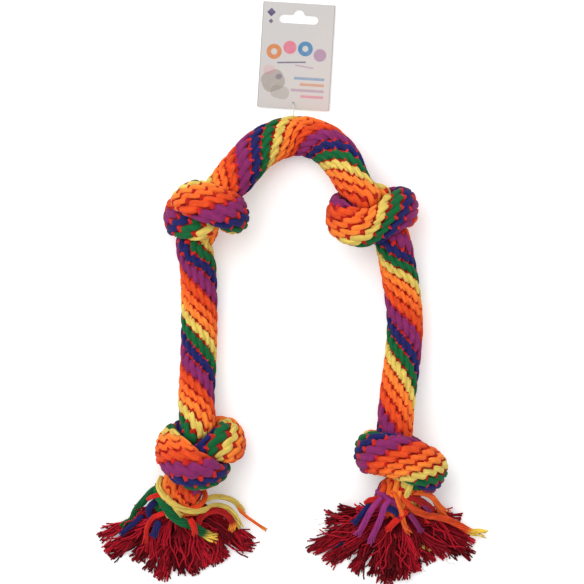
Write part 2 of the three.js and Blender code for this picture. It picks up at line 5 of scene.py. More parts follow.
import bpy
import numpy as np
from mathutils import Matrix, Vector


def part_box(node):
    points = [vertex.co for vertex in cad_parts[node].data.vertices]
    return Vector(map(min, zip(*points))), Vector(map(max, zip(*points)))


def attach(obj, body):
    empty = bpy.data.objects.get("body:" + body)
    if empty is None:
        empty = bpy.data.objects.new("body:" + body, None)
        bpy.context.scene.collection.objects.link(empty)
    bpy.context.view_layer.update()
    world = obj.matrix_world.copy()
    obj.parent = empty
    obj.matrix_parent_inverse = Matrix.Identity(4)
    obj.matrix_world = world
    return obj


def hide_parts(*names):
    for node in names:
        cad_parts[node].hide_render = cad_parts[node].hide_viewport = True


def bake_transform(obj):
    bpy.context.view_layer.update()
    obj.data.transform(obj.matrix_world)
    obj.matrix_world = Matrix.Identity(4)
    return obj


MM = 0.001
TURN = 2 * math.pi
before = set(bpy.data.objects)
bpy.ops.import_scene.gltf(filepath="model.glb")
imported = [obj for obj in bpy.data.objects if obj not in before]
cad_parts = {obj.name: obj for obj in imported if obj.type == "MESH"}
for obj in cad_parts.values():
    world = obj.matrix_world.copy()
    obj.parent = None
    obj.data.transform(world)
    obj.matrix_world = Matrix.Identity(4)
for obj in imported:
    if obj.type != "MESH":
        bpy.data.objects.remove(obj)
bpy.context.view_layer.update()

# Camera: straight above the toy, at the photograph's scale.
PHOTO_PIXELS = 584
PIXEL_SIZE = 0.8  # mm at the scale's height
PHOTO_MIDDLE = (-1.6, -125.2)  # the point below the camera, in mm
SCALE_HEIGHT = 22  # of the rope's widest part above the floor
CAMERA_HEIGHT = 3000

# Light
WORLD_STRENGTH = 0.8
LAMP_POWER = 15
LAMP_PLACE = (-0.5, 0.45, 1.5)  # m
LAMP_SIDE = 1.2  # m
FLOOR_SIDE = 6  # m
FLOOR_WHITE = (0.95, 0.95, 0.95, 1)
FLOOR_GLOW = 0.22  # seen by the camera only

# The rope's route in mm, from the left tassel over the arch to the right tassel.
LEFT_NECK = [(-98, -301, 14)]
LEFT_LEG = [
    (-92, -288, 21), (-88, -276, 28), (-79, -263, 34), (-69, -253, 38), (-58, -247, 37), (-52, -244, 26),
    (-55, -242, 15), (-65, -242, 13), (-78, -243, 13), (-89, -244, 17), (-96, -248, 28), (-97, -252, 40),
    (-91, -258, 49), (-84, -264, 53), (-77, -267, 51), (-70, -268, 43), (-67, -266, 32), (-69, -259, 22),
    (-75, -250, 24), (-77, -240, 32), (-77, -226, 32), (-78, -210, 26),
    (-77, -190, 19), (-76, -160, 16), (-76, -130, 17),
]
ARCH = [
    (-77, -104, 20), (-80, -86, 26), (-75, -71, 26), (-79, -57, 30), (-83, -52, 42), (-75, -53, 54),
    (-61, -57, 56), (-50, -61, 46), (-51, -62, 32), (-61, -58, 21), (-73, -57, 14), (-86, -60, 15),
    (-91, -65, 28), (-83, -68, 40), (-70, -65, 43), (-63, -52, 40), (-53, -40, 35), (-42, -27, 30),
    (-26, -10, 21), (0, 0, 13.2), (22, -5, 18), (37, -19, 29), (47, -39, 41), (55, -55, 44),
    (52, -66, 35), (56, -66, 22), (68, -61, 15), (82, -58, 20), (86, -59, 34), (77, -64, 45),
    (64, -70, 50), (50, -73, 53), (39, -67, 47), (41, -58, 36), (52, -51, 29), (67, -54, 30),
    (71, -68, 31), (78, -82, 30), (83, -104, 21),
]
RIGHT_LEG = [
    (87, -128, 18), (89, -152, 16), (87, -178, 18), (83, -206, 26), (81, -226, 32), (80, -243, 33),
    (79, -253, 28), (81, -260, 20), (89, -265, 15), (98, -268, 14), (106, -271, 22), (108, -269, 34),
    (103, -264, 45), (92, -259, 52), (79, -255, 53), (68, -253, 48), (61, -253, 37), (64, -252, 24),
    (73, -251, 16), (83, -253, 15), (91, -258, 21), (94, -266, 30), (91, -274, 31), (86, -283, 26),
    (82, -291, 20),
]
RIGHT_NECK = [(85, -303, 14)]
KNOT_ENDS = [  # first and last route point of each knot
    ((-88, -276, 28), (-77, -226, 32)),
    ((-80, -86, 26), (-63, -52, 40)),
    ((47, -39, 41), (78, -82, 30)),
    ((81, -226, 32), (86, -283, 26)),
]
LEFT_HINGE, RIGHT_HINGE = ARCH[0], ARCH[-1]
LEFT_NECK_HINGE, RIGHT_NECK_HINGE = LEFT_LEG[0], RIGHT_LEG[-1]

# Rope sizes in mm
CURVE_SAMPLES = 40  # between two route points, before they are spaced evenly
LEG_RADIUS = 14.8
ARCH_RADIUS = 16.5
NECK_RADIUS = 18.5
NECK_HEIGHT_RADIUS = 14
KNOT_OUTER_RADIUS = 13.5
KNOT_SIDE_RADIUS = 18
PASS_GAP = 0.4  # between passes that press on each other
BEND_REACH = 12  # nearer than this along the rope, two points are one bend
KNOT_BLEND = 26
ROUTE_STEP = 1.0
REACH_DIRECTIONS = 48
REACH_ROUNDS = 6  # of smoothing
BEND_WINDOW = 7  # samples that the bend is averaged over
LAY_WINDOW = 20  # samples to each side that the lay's turn is averaged over
LEAST_REACH = 4  # of a strand's middle from the rope's line
LEAST_OUT = 0.3  # of any point from the rope's line
STRETCH_LIMITS = (0.45, 2.2)  # of the lay on the inside and the outside of a bend

# The lay: strands wound round the rope, each of two plies wound round each other, with red cord between.
STRAND_COUNT = 7
PLY_COUNT = 2
NOTCHES_PER_LAY = 8  # between plies, along one groove
BAND_WIDTH = 8.8  # of a strand where the sizes below are true; they follow its real width
PLY_HALF_WIDTH = 2.5
PLY_HALF_THICK = 2.0
PLY_SIDE_THROW = 2.05
PLY_DEPTH_THROW = 0.6
PLY_SIDES = 12
SECTION_SQUARENESS = 0.75  # 1 for an ellipse, less for a flatter outside
PLY_STEP = 1.0
CORD_HALF_WIDTH = 2.8
CORD_HALF_THICK = 1.5
CORD_SIDES = 6
CORD_STEP = 0.8
CORD_HIGH_DEPTH = 1.7  # of a red cord's middle below the surface, where it shows
CORD_LOW_DEPTH = 5.5
CORD_SHOWN_POWER = 5  # a higher power shows shorter patches of red
CORE_DEPTH = 4.6
CORE_SIDES = 16
CORE_STEP = 3

YELLOW, LIGHT_ORANGE, ORANGE, DARK_ORANGE, PURPLE, BLUE, GREEN = range(STRAND_COUNT)
DYES = {
    YELLOW: (0.72, 0.53, 0.11),
    LIGHT_ORANGE: (0.93, 0.232, 0.032),
    ORANGE: (0.88, 0.146, 0.021),
    DARK_ORANGE: (0.72, 0.069, 0.012),
    PURPLE: (0.232, 0.021, 0.122),
    BLUE: (0.014, 0.016, 0.115),
    GREEN: (0.005, 0.118, 0.034),
}
STRAND_WIDTHS = (1, 0.83, 0.8, 0.97, 1.42, 0.98, 1)  # shares of an even strand's width, in the order above
CORD_DYE = (0.61, 0.021, 0.017)
DARK_CORD_DYE = (0.45, 0.013, 0.007)
DARK_GROOVES = (GREEN, YELLOW, LIGHT_ORANGE, ORANGE)  # each with the next strand
# Painted shade: the core's dark red stands for the shade deep in the grooves.
CORE_PAINTED_SHADE = (0.20, 0.010, 0.006)

# Which strand is on top of the rope at points of the route. Halves are between two strands.
LAY_ON_TOP = [
    ((-90, -282, 25), ORANGE), ((-60, -248, 38), GREEN + 0.5), ((-82, -265, 53), PURPLE),
    ((-77, -231, 32), YELLOW), ((-76, -194, 19), PURPLE), ((-77, -155, 16), YELLOW),
    ((-77, -113, 18), PURPLE), ((-80, -89, 25), BLUE + 0.5),
    ((-43.6, -28.9, 30), PURPLE), ((-16, -4.7, 18), YELLOW), ((21.3, -4.8, 18), PURPLE),
    ((43.6, -32.2, 37), YELLOW),
    ((83, -108, 20), YELLOW), ((88, -152, 16), PURPLE), ((87, -194, 22), YELLOW),
    ((81, -234, 33), DARK_ORANGE + 0.5), ((85, -257, 53), ORANGE + 0.5), ((87, -281, 27), LIGHT_ORANGE),
]
USUAL_LAY = 82  # mm of rope for one turn of a strand

# Tassels: fans of crimson yarn. Shares of the reach in directions about the neck, in degrees.
FAN_SET_BACK = 3.5
FAN_NECK_HEIGHT = 26
FAN_TIP_HEIGHT = 8
FAN_SLOPE_POWER = 1.3
LEFT_FAN_REACH = 73
LEFT_FAN_SHARES = [
    (-158, 0.8), (-154, 1.1), (-149, 1.06), (-140, 0.94), (-129, 0.84), (-116, 0.84), (-102, 0.89), (-91, 0.87),
    (-84, 0.86), (-73, 0.8), (-63, 0.82), (-54, 0.8), (-44, 0.91), (-35, 0.96), (-26, 0.96), (-22, 0.7),
]
RIGHT_FAN_REACH = 78
RIGHT_FAN_SHARES = [
    (-169, 0.66), (-164, 0.76), (-158, 0.9), (-151, 0.98), (-141, 0.95), (-129, 0.86), (-119, 0.8),
    (-108, 0.79), (-99, 0.8), (-89, 0.8), (-81, 0.79), (-74, 0.73), (-66, 0.75), (-54, 0.68),
    (-44, 0.88), (-36, 0.92), (-30, 0.9), (-23, 0.8), (-17, 0.7), (-13, 0.5),
]
TUFT_LAYERS = [  # degrees between tufts, shares of the reach, and shares of the fan's height
    (7, 0.96, 1.08, 0.05, 0.4),
    (10, 0.82, 1.02, 0.35, 0.72),
    (15, 0.55, 0.88, 0.7, 1.05),
]
TUFT_EDGES = (3, 2)  # degrees from the fan's sides to the first and the last tuft
TUFT_DRIFT = 0.35  # of a tuft's aim, as a share of the spacing
TUFT_BEND = 7  # degrees, from the neck to the tips
TUFT_UNEVENNESS = 0.16  # the shortest yarns of a tuft lack this share
TUFT_LAYER_SPREAD = 0.07
YARNS_PER_TUFT = 25
STRAY_YARNS, STRAY_SHADE = 36, 1.2
STRAY_EDGE, STRAY_BEND = 5, 14  # degrees
STRAY_UNREST = 2.6  # times the usual waves
STRAY_SHARES, STRAY_LAYERS = (0.6, 1), (0.8, 1.15)  # of the reach, and of the fan's height
HAIRS, HAIR_BEND, HAIR_UNREST = 12, 16, 5
HAIR_SHARES, HAIR_LAYERS = (0.95, 1.1), (0.3, 1)
HAIR_HALF_WIDTH = 0.16
HAIR_DYE = (0.09, 0.03, 0.03)
YARN_HALF_WIDTH = 0.75
YARN_SIDES = 4
YARN_STEPS = 24
YARN_ROOTS = (1, 8)  # mm from the neck
ROOT_SPREAD, TIP_SPREAD, LIFT_SPREAD = 3.6, 2.4, 0.8  # mm, usual
CURL, CURL_START = 2.2, 0.7  # mm that a tip usually turns aside, past this share of the yarn
YARN_WAVES = 3
WAVELENGTHS = (10, 36)
WAVES_ASIDE, WAVES_UP = (0.05, 0.45), (0.1, 0.5)
BEND_POWER, TIP_POWER = 1.6, 1.3  # along the yarn, of its bend and of its tip's spread
YARN_DYE = (0.375, 0.0085, 0.020)
TUFT_SHADES = (0.35, 1.45)
YARN_SHADES = (0.45, 1.7)
# Painted shade on the lowest tufts, which lie under the others.
PAINTED_DEEP_SHADE = 0.6  # of the lowest tufts
# Painted shade: the yarns' colour darkens towards the neck.
PAINTED_ROOT_SHADE, ROOT_SHARE = 0.3, 0.6  # yarns are darker near the neck, over this share of their length

# Loose strands of the unlaid rope: dye, half width, the tip's dye, and the route in mm from the neck to the tip.
RED, DARK_RED, NAVY, BRIGHT_PURPLE = range(STRAND_COUNT, STRAND_COUNT + 4)
DYES[RED] = (0.66, 0.018, 0.012)
DYES[DARK_RED] = (0.40, 0.010, 0.010)
DYES[NAVY] = (0.012, 0.015, 0.06)
DYES[BRIGHT_PURPLE] = (0.33, 0.032, 0.20)
TIP_YELLOW = (0.88, 0.60, 0.08)
TIP_ORANGE = (0.95, 0.30, 0.03)
LOOSE_STRANDS = {
    "left_loose_green_long": (GREEN, 3.3, None, [
        (-103, -280, 27), (-111, -283, 25), (-119, -291, 18), (-127, -301, 12), (-130, -308, 10), (-137, -314, 9)]),
    "left_loose_green_front": (GREEN, 4, TIP_YELLOW, [
        (-108, -279, 27), (-109, -285, 31), (-104, -293, 36), (-98, -302, 34), (-91, -308, 31), (-81, -312, 27),
        (-74, -317, 22), (-67, -321, 17), (-62, -323, 13)]),
    "left_loose_yellow_low": (YELLOW, 2.7, None, [
        (-106, -273, 25), (-108, -280, 33), (-105, -286, 37), (-100, -291, 38), (-91, -297, 37), (-81, -300, 33),
        (-71, -299, 28), (-63, -296, 24), (-54, -298, 20), (-47, -305, 16), (-43, -314, 11)]),
    "left_loose_yellow_high": (YELLOW, 2.5, None, [
        (-85, -299, 31), (-79, -297, 30), (-72, -292, 26), (-64, -289, 22), (-55, -290, 17), (-47, -294, 12),
        (-41, -302, 7)]),
    "left_loose_yellow_thin": (YELLOW, 1.6, None, [
        (-101, -287, 38), (-97, -294, 38), (-93, -300, 36), (-89, -304, 32)]),
    "left_loose_red": (RED, 2.2, None, [
        (-98, -300, 32), (-105, -302, 32), (-112, -305, 28), (-117, -312, 23), (-119, -326, 15)]),
    "left_loose_red_wrap": (RED, 2, None, [
        (-117, -291, 26), (-112, -288, 34), (-106, -287, 37), (-101, -291, 38)]),
    "left_loose_red_loop": (DARK_RED, 3, TIP_ORANGE, [
        (-77, -315, 21), (-75, -306, 26), (-69, -301, 27), (-60, -300, 25), (-52, -305, 21), (-49, -312, 16),
        (-50, -318, 13)]),
    "left_loose_red_band": (RED, 2.8, None, [(-83, -306, 32), (-80, -312, 32), (-79, -319, 25)]),
    "left_loose_orange_thin": (ORANGE, 1.4, TIP_ORANGE, [
        (-46, -295, 11), (-41, -303, 10), (-32, -310, 8), (-22, -317, 5)]),
    "left_loose_orange_curl": (DARK_ORANGE, 2.4, None, [
        (-90, -297, 33), (-82, -298, 32), (-74, -294, 30), (-71, -287, 27), (-75, -281, 25), (-81, -279, 24)]),
    "left_loose_orange_inner": (DARK_ORANGE, 2.8, None, [
        (-85, -292, 32), (-79, -289, 31), (-77, -284, 30), (-81, -280, 28)]),
    "left_loose_orange_under": (ORANGE, 2.4, None, [
        (-99, -298, 31), (-92, -301, 30), (-84, -302, 28), (-77, -301, 26)]),
    "left_loose_blue_high": (BLUE, 3, None, [(-111, -292, 27), (-116, -299, 26), (-114, -307, 23)]),
    "left_loose_blue_low": (BLUE, 3.2, None, [(-108, -308, 27), (-110, -314, 26), (-112, -321, 22)]),
    "left_loose_blue_out": (BLUE, 2.4, None, [(-121, -304, 19), (-130, -312, 16), (-139, -320, 12)]),
    "right_loose_purple_left": (BRIGHT_PURPLE, 2.7, None, [
        (70, -289, 35), (65, -294, 36), (61, -300, 33), (57, -308, 29), (53, -316, 24), (51, -321, 19)]),
    "right_loose_purple_right": (BRIGHT_PURPLE, 2.8, None, [
        (77, -290, 38), (72, -296, 37), (70, -303, 35), (67, -311, 30), (63, -320, 25), (61, -326, 19)]),
    "right_loose_purple_over": (BRIGHT_PURPLE, 2.1, None, [
        (66, -284, 24), (69, -286, 31), (75, -290, 36), (81, -294, 37)]),
    "right_loose_purple_cross": (PURPLE, 2, None, [
        (72, -286, 32), (76, -289, 36), (80, -292, 38), (84, -298, 36)]),
    "right_loose_orange_down": (ORANGE, 2.3, None, [
        (79, -282, 38), (82, -289, 40), (85, -298, 37), (87, -307, 31), (89, -313, 26), (93, -318, 20)]),
    "right_loose_orange_out": (DARK_ORANGE, 3, TIP_YELLOW, [
        (84, -286, 38), (90, -293, 38), (97, -299, 33), (105, -303, 28), (114, -305, 22), (124, -308, 17),
        (134, -313, 12), (143, -318, 9), (150, -318, 8), (154, -319, 8)]),
    "right_loose_orange_top": (ORANGE, 2.6, None, [
        (85, -282, 39), (93, -284, 39), (101, -285, 35), (109, -288, 29), (116, -296, 21), (123, -304, 14)]),
    "right_loose_orange_thin": (ORANGE, 1.7, None, [
        (96, -283, 30), (103, -285, 28), (110, -289, 24), (114, -296, 20), (118, -303, 16)]),
    "right_loose_red_wrap": (RED, 2.6, None, [
        (57, -294, 23), (62, -291, 29), (69, -291, 33), (77, -294, 34)]),
    "right_loose_red_between": (RED, 2.6, None, [
        (86, -292, 35), (94, -297, 31), (102, -301, 26), (108, -308, 20)]),
    "right_loose_red_high": (DARK_RED, 3.4, None, [
        (87, -287, 38), (95, -289, 37), (104, -294, 30), (112, -301, 20)]),
    "right_loose_red_low": (RED, 3, None, [
        (90, -299, 34), (85, -304, 33), (79, -310, 30), (74, -316, 25)]),
    "right_loose_blue": (BLUE, 3, None, [(69, -296, 35), (77, -298, 36), (84, -302, 34)]),
    "right_loose_blue_low": (BLUE, 2.6, None, [(60, -295, 30), (54, -303, 26), (48, -311, 20)]),
    "right_loose_purple_low": (PURPLE, 2.4, None, [(92, -302, 32), (97, -309, 29), (102, -317, 23)]),
    "right_loose_purple_bit": (PURPLE, 1.8, None, [(100, -293, 33), (106, -298, 29), (110, -303, 24)]),
    "right_loose_yellow_bit": (YELLOW, 1.6, None, [(99, -326, 11), (104, -330, 9), (110, -333, 6)]),
    "right_loose_navy_bit": (NAVY, 1.6, None, [(41, -326, 6), (35, -329, 5), (28, -331, 4)]),
}
FIBRES_PER_STRAND = 18
INNER_FIBRES = 6
INNER_SHARE = 0.5  # of the girth
FIBRE_SHARE = 0.3  # of the strand's half width
FIBRE_SIDES = 6
FIBRE_TAPER = 0.6
FIBRE_SHADES = (0.75, 1.12)
FIBRE_TURNS_PER_MM = 0.012
FIBRE_SWAY, SWAY_RATE, SWAY_STEP = 0.35, 0.12, 7  # radians, radians a mm, radians from fibre to fibre
STRAND_FLATNESS = 0.62
START_GIRTH, START_SHARE = 0.7, 0.25  # a strand leaves the rope thinner, over this share of its length
TIP_GIRTH, TIP_START = 0.35, 0.78  # and is this much wider at its tip, from this share on
TIP_DYE_START, TIP_DYE_SHARE = 0.8, 0.1
FRAY_START = 0.8
FRAY_SHARE, FRAY_LIMIT = 0.4, 1.1  # of the strand's half width, and the most of a normal spread
WHOLE_FIBRES = 2  # every so many fibres one reaches the strand's end
SHORTEST_FIBRE = 0.88  # share of the strand's length

# The header card, in mm about the pin's hole, and its plain design
CARD_HOLE = (-0.5, 27)
CARD_TURN = -3.5  # degrees
CARD_LEAF = 0.5
CARD_WIDTH = 58
CARD_PAPER = (0.52, 0.495, 0.48)
CARD_WARM_PAPER = (0.585, 0.525, 0.50)
# Painted shade along the card's sides: its face darkens over this width, to this shade.
EDGE_WIDTH, PAINTED_EDGE_SHADE = 0.9, 0.55  # of the card's sides
PRINT_BLUE = (0.015, 0.17, 0.36)
PRINT_ORANGE = (0.56, 0.17, 0.03)
PRINT_MAUVE = (0.36, 0.20, 0.31)
PRINT_PINK = (0.62, 0.12, 0.20)
PRINT_NAVY = (0.03, 0.012, 0.11)
PRINT_BEIGE = (0.24, 0.19, 0.15)
PRINT_SHAPES = [  # centre, half size before rounding, rounding radius, turn in degrees, dye, cover, inner radius
    ((-18, 40.5), (0, 0), 6.1, 0, PRINT_ORANGE, 0.95, 2.5),
    ((-5.5, 44.5), (0, 0), 5.3, 0, PRINT_PINK, 0.9, 0),
    ((7, 44), (0, 0), 6.0, 0, PRINT_BLUE, 0.95, 2.4),
    ((19, 39.5), (0, 0), 5.1, 0, PRINT_MAUVE, 0.9, 0),
    ((-3.5, 32.5), (11, 0), 0.6, 4, PRINT_NAVY, 0.8, 0),
    ((7, 29.6), (7, 0), 0.5, -7, PRINT_MAUVE, 0.75, 0),
    ((-22, 72), (1.9, 1.9), 0.6, 45, PRINT_NAVY, 0.95, 0),
    ((-22, 64.8), (1, 1), 0.4, 45, PRINT_NAVY, 0.85, 0),
    ((11.5, 20), (11.5, 0.3), 0.8, 0, PRINT_BLUE, 0.6, 0),
    ((14, 15.2), (9, 0.3), 0.8, 0, PRINT_ORANGE, 0.65, 0),
    ((10.5, 10.4), (12.5, 0.3), 0.8, 0, PRINT_MAUVE, 0.65, 0),
    ((14.5, 5.6), (8.5, 0.3), 0.8, 0, PRINT_PINK, 0.65, 0),
    ((-17.5, 17), (3, 2), 6.2, 25, PRINT_BEIGE, 0.6, 0),
    ((-11.5, 8), (3, 0.5), 4.6, -10, PRINT_BEIGE, 0.4, 0),
    ((-21, 25.5), (0.8, 0), 4, 0, PRINT_PINK, 0.25, 0),
    ((-13, 20.5), (0.4, 0), 2.2, 30, PRINT_NAVY, 0.45, 0),
]
PRINT_SOFTNESS = 0.25
PRINT_WEAR = 0.85  # share of the cover where the print is thinnest
PAPER_WARMTH = (-60, 25)  # mm across minus mm up the card, from its cool corner to its warm one

# Materials: the scales of their noises, and the shades from a noise's low parts to its high ones
NOISE_SPAN = (0.3, 0.7)
COTTON_ROUGHNESS, SHEEN_ROUGHNESS = 0.85, 0.5
ROPE_GLOSS = (0.12, 0.06)  # specular and sheen
FAN_GLOSS = (0.05, 0.02)
GRAIN_SCALE = (14, 0.35, 7.3)  # round a tube, along it per mm, and from tube to tube
GRAIN_SHADES = (0.8, 1.14)
GRAIN_HEIGHT = 0.4
BLOTCH_SCALE, BLOTCH_SHADES = 160, (0.88, 1.1)
PAPER_SCALE, PAPER_SHADES, PAPER_HEIGHT = 1400, (0.97, 1.02), 0.05
WEAR_SCALE = 260
NYLON_SCALE, NYLON_HEIGHT, NYLON_CLEARNESS = 500, 0.05, 0.35
NYLON_DYES = (0.78, 0.79, 0.80), (0.88, 0.88, 0.88)

# Stretches of the rope past the hinge, in mm, for a leg and for a tassel; nothing bends the pieces over them
LEG_BEND = (-8, 26)
NECK_BEND = (0, 13)

# Lengths of the rope's stretches, in mm, and their thickness; nothing uses them
LEFT_LEG_LENGTH, RIGHT_LEG_LENGTH, LEG_DIAMETER = 375, 368, 29


def unit(vectors):
    return vectors / np.linalg.norm(vectors, axis=1)[:, None]


def catmull_rom(points, step):
    """A centripetal curve through the points as evenly spaced samples."""
    p = np.array(points, float)
    p = np.vstack([2 * p[0] - p[1], p, 2 * p[-1] - p[-2]])
    fine = []
    share = np.linspace(0, 1, CURVE_SAMPLES, endpoint=False)[:, None]
    for a, b, c, d in zip(p, p[1:], p[2:], p[3:]):
        t0, t1, t2 = (np.linalg.norm(v) ** 0.5 for v in (b - a, c - b, d - c))
        leave = ((b - a) / t0 - (c - a) / (t0 + t1) + (c - b) / t1) * t1
        arrive = ((c - b) / t1 - (d - b) / (t1 + t2) + (d - c) / t2) * t1
        fine.append(
            b
            + leave * share
            + (3 * (c - b) - 2 * leave - arrive) * share**2
            + (2 * (b - c) + leave + arrive) * share**3
        )
    fine = np.vstack(fine + [p[-2:-1]])
    along = np.r_[0, np.cumsum(np.linalg.norm(np.diff(fine, axis=0), axis=1))]
    even = np.linspace(0, along[-1], int(round(along[-1] / step)) + 1)
    return np.column_stack([np.interp(even, along, fine[:, i]) for i in range(3)]), even


def carried_frames(centres):
    """Tangents, and normals and sides that don't twist along the curve."""
    tangents = unit(np.gradient(centres, axis=0))
    normals = np.zeros_like(tangents)
    normal = np.array([0, 0, 1.0])
    for i, tangent in enumerate(tangents):
        normal = normal - tangent * (normal @ tangent)
        normal /= np.linalg.norm(normal)
        normals[i] = normal
    return tangents, normals, np.cross(tangents, normals)


def ease(t):
    """From 0 to 1, level at both ends."""
    u = np.clip(t, 0, 1)
    return u * u * (3 - 2 * u)


def lay_place(strand):
    """Where a strand's middle is in the lay, or its edge for a half, in even strand widths."""
    widths = np.array(STRAND_WIDTHS)
    edges = np.cumsum(widths) - widths[0] / 2
    middles = edges - widths / 2
    known = np.append(np.stack([middles, edges], 1).ravel(), STRAND_COUNT)
    return float(np.interp(strand, np.arange(len(known)) / 2, known))


class Rope:
    """The rope's line, the shape that its passes press on each other, and the lay of its strands."""

    def __init__(self):
        points = LEFT_NECK + LEFT_LEG + ARCH + RIGHT_LEG + RIGHT_NECK
        self.centres, self.s = catmull_rom(points, ROUTE_STEP)
        self.tangents, self.normals, self.sides = carried_frames(self.centres)
        self.knots = [(self.place(a), self.place(b)) for a, b in KNOT_ENDS]
        self.left_neck, self.right_neck = self.place(LEFT_NECK_HINGE), self.place(RIGHT_NECK_HINGE)
        self.left_hinge, self.right_hinge = self.place(LEFT_HINGE), self.place(RIGHT_HINGE)
        self.angles = np.arange(REACH_DIRECTIONS) / REACH_DIRECTIONS * TURN
        self.near_neck = np.maximum(
            ease((self.left_neck + KNOT_BLEND - self.s) / KNOT_BLEND),
            ease((self.s - self.right_neck + KNOT_BLEND) / KNOT_BLEND),
        )
        self.plain = self.plain_radius()
        self.reach = self.squeezed_reach()
        self.turn = self.lay_turn()
        self.lay = TURN / np.gradient(self.turn, self.s)
        bend = np.gradient(self.tangents, self.s, axis=0)
        window = np.ones(BEND_WINDOW) / BEND_WINDOW
        self.bend = np.stack([np.convolve(bend[:, i], window, "same") for i in range(3)], 1)
        slant = np.arctan(TURN * self.plain / self.lay)
        ply_rate = math.pi * NOTCHES_PER_LAY / self.lay / np.sin(slant) ** 2
        self.phase = np.r_[0, np.cumsum((ply_rate[1:] + ply_rate[:-1]) / 2 * np.diff(self.s))]

    def nearest(self, point):
        return np.argmin(np.linalg.norm(self.centres - np.array(point), axis=1))

    def place(self, point):
        """How far along the rope it passes the point."""
        return self.s[self.nearest(point)]

    def plain_radius(self):
        """The rope's radius where nothing presses on it."""
        s = self.s
        into_arch = np.minimum(
            ease((s - self.knots[1][1]) / KNOT_BLEND), ease((self.knots[2][0] - s) / KNOT_BLEND)
        )
        return LEG_RADIUS + (ARCH_RADIUS - LEG_RADIUS) * into_arch + (NECK_RADIUS - LEG_RADIUS) * self.near_neck

    def directions(self):
        """Unit vectors out of the line, in each direction, at each sample."""
        turn = self.angles[None, :, None]
        return self.normals[:, None] * np.cos(turn) + self.sides[:, None] * np.sin(turn)

    def squeezed_reach(self):
        """How far the surface is from the line, in each direction, at each sample."""
        directions = self.directions()
        flatter = (NECK_RADIUS - NECK_HEIGHT_RADIUS) * self.near_neck
        wanted = self.plain[:, None] - flatter[:, None] * directions[:, :, 2] ** 2
        for start, end in self.knots:
            inside = (self.s >= start) & (self.s <= end)
            low, high = self.centres[inside].min(0), self.centres[inside].max(0)
            outward = self.centres - (low + high) / 2
            outward = unit(outward - self.tangents * (outward * self.tangents).sum(1)[:, None])
            facing = np.einsum("nd,nmd->nm", outward, directions) ** 2
            squeezed = KNOT_SIDE_RADIUS + (KNOT_OUTER_RADIUS - KNOT_SIDE_RADIUS) * facing
            knotted = np.minimum(ease((self.s - start) / KNOT_BLEND), ease((end - self.s) / KNOT_BLEND))
            wanted += (squeezed - wanted) * knotted[:, None]
        for i, centre in enumerate(self.centres):
            far = np.abs(self.s - self.s[i]) >= BEND_REACH
            away = centre - self.centres[far]
            lean = PASS_GAP - away @ directions[i].T
            square = (away**2).sum(1)[:, None] - PASS_GAP**2
            limit = np.where(lean > 0, square / (2 * np.where(lean > 0, lean, 1)), np.inf)
            wanted[i] = np.minimum(wanted[i], limit.min(0))
        down = directions[:, :, 2]
        floor = np.where(down < 0, self.centres[:, None, 2] / np.maximum(-down, 1e-6), np.inf)
        limit = np.minimum(wanted, floor)
        reach = limit
        for _ in range(REACH_ROUNDS):
            near = (
                np.roll(reach, 1, 1) + np.roll(reach, -1, 1)
                + np.vstack([reach[:1], reach[:-1]]) + np.vstack([reach[1:], reach[-1:]])
            ) / 4
            reach = np.minimum(limit, (reach + near) / 2)
        return reach

    def lay_turn(self):
        """The angle that the lay has turned at each sample, so that the named strands lie on top."""
        up = np.unwrap(np.arctan2(self.sides[:, 2], self.normals[:, 2]))
        known = []
        for point, strand in LAY_ON_TOP:
            i = self.nearest(point)
            turn = TURN * lay_place(strand) / STRAND_COUNT - up[i]
            if known:
                expected = known[-1][1] + (self.s[i] - known[-1][0]) / USUAL_LAY * TURN
                turn += TURN * round((expected - turn) / TURN)
            known.append((self.s[i], turn))
        s, turn = np.array(known).T
        rate = TURN / USUAL_LAY
        turn = np.interp(
            self.s,
            np.r_[self.s[0], s, self.s[-1]],
            np.r_[turn[0] - (s[0] - self.s[0]) * rate, turn, turn[-1] + (self.s[-1] - s[-1]) * rate],
        )
        width = 2 * LAY_WINDOW + 1
        turn = np.pad(turn, LAY_WINDOW, mode="reflect", reflect_type="odd")
        return np.convolve(turn, np.ones(width) / width, "valid")

    def at(self, values, s):
        """A per-sample array read between its samples."""
        place = np.clip(s / (self.s[1] - self.s[0]), 0, len(self.s) - 1.001)
        low = place.astype(int)
        share = place - low
        share = share.reshape(share.shape + (1,) * (values.ndim - 1))
        return values[low] * (1 - share) + values[low + 1] * share

    def reach_at(self, s, angle):
        """The squeezed reach read between its samples and directions."""
        across = np.mod(angle, TURN) / TURN * REACH_DIRECTIONS
        left = across.astype(int) % REACH_DIRECTIONS
        share = across - across.astype(int)
        rows = self.at(self.reach, s)
        columns = (left, (left + 1) % REACH_DIRECTIONS)
        near, far = (np.take_along_axis(rows, column[..., None], -1)[..., 0] for column in columns)
        return near * (1 - share) + far * share

    def direction_at(self, s, angle):
        normal, side = self.at(self.normals, s), self.at(self.sides, s)
        return normal * np.cos(angle)[..., None] + side * np.sin(angle)[..., None]

    def point(self, s, angle, depth):
        """Where a point is that lies at that angle round the rope and that deep under its surface."""
        out = np.maximum(self.reach_at(s, angle) - depth, LEAST_OUT)
        return self.at(self.centres, s) + self.direction_at(s, angle) * out[..., None]

    def notch_phase(self, s, strand):
        """It grows by pi from one notch between plies to the next, in line across the strands."""
        return self.at(self.phase, s) - math.pi * NOTCHES_PER_LAY * lay_place(strand) / STRAND_COUNT

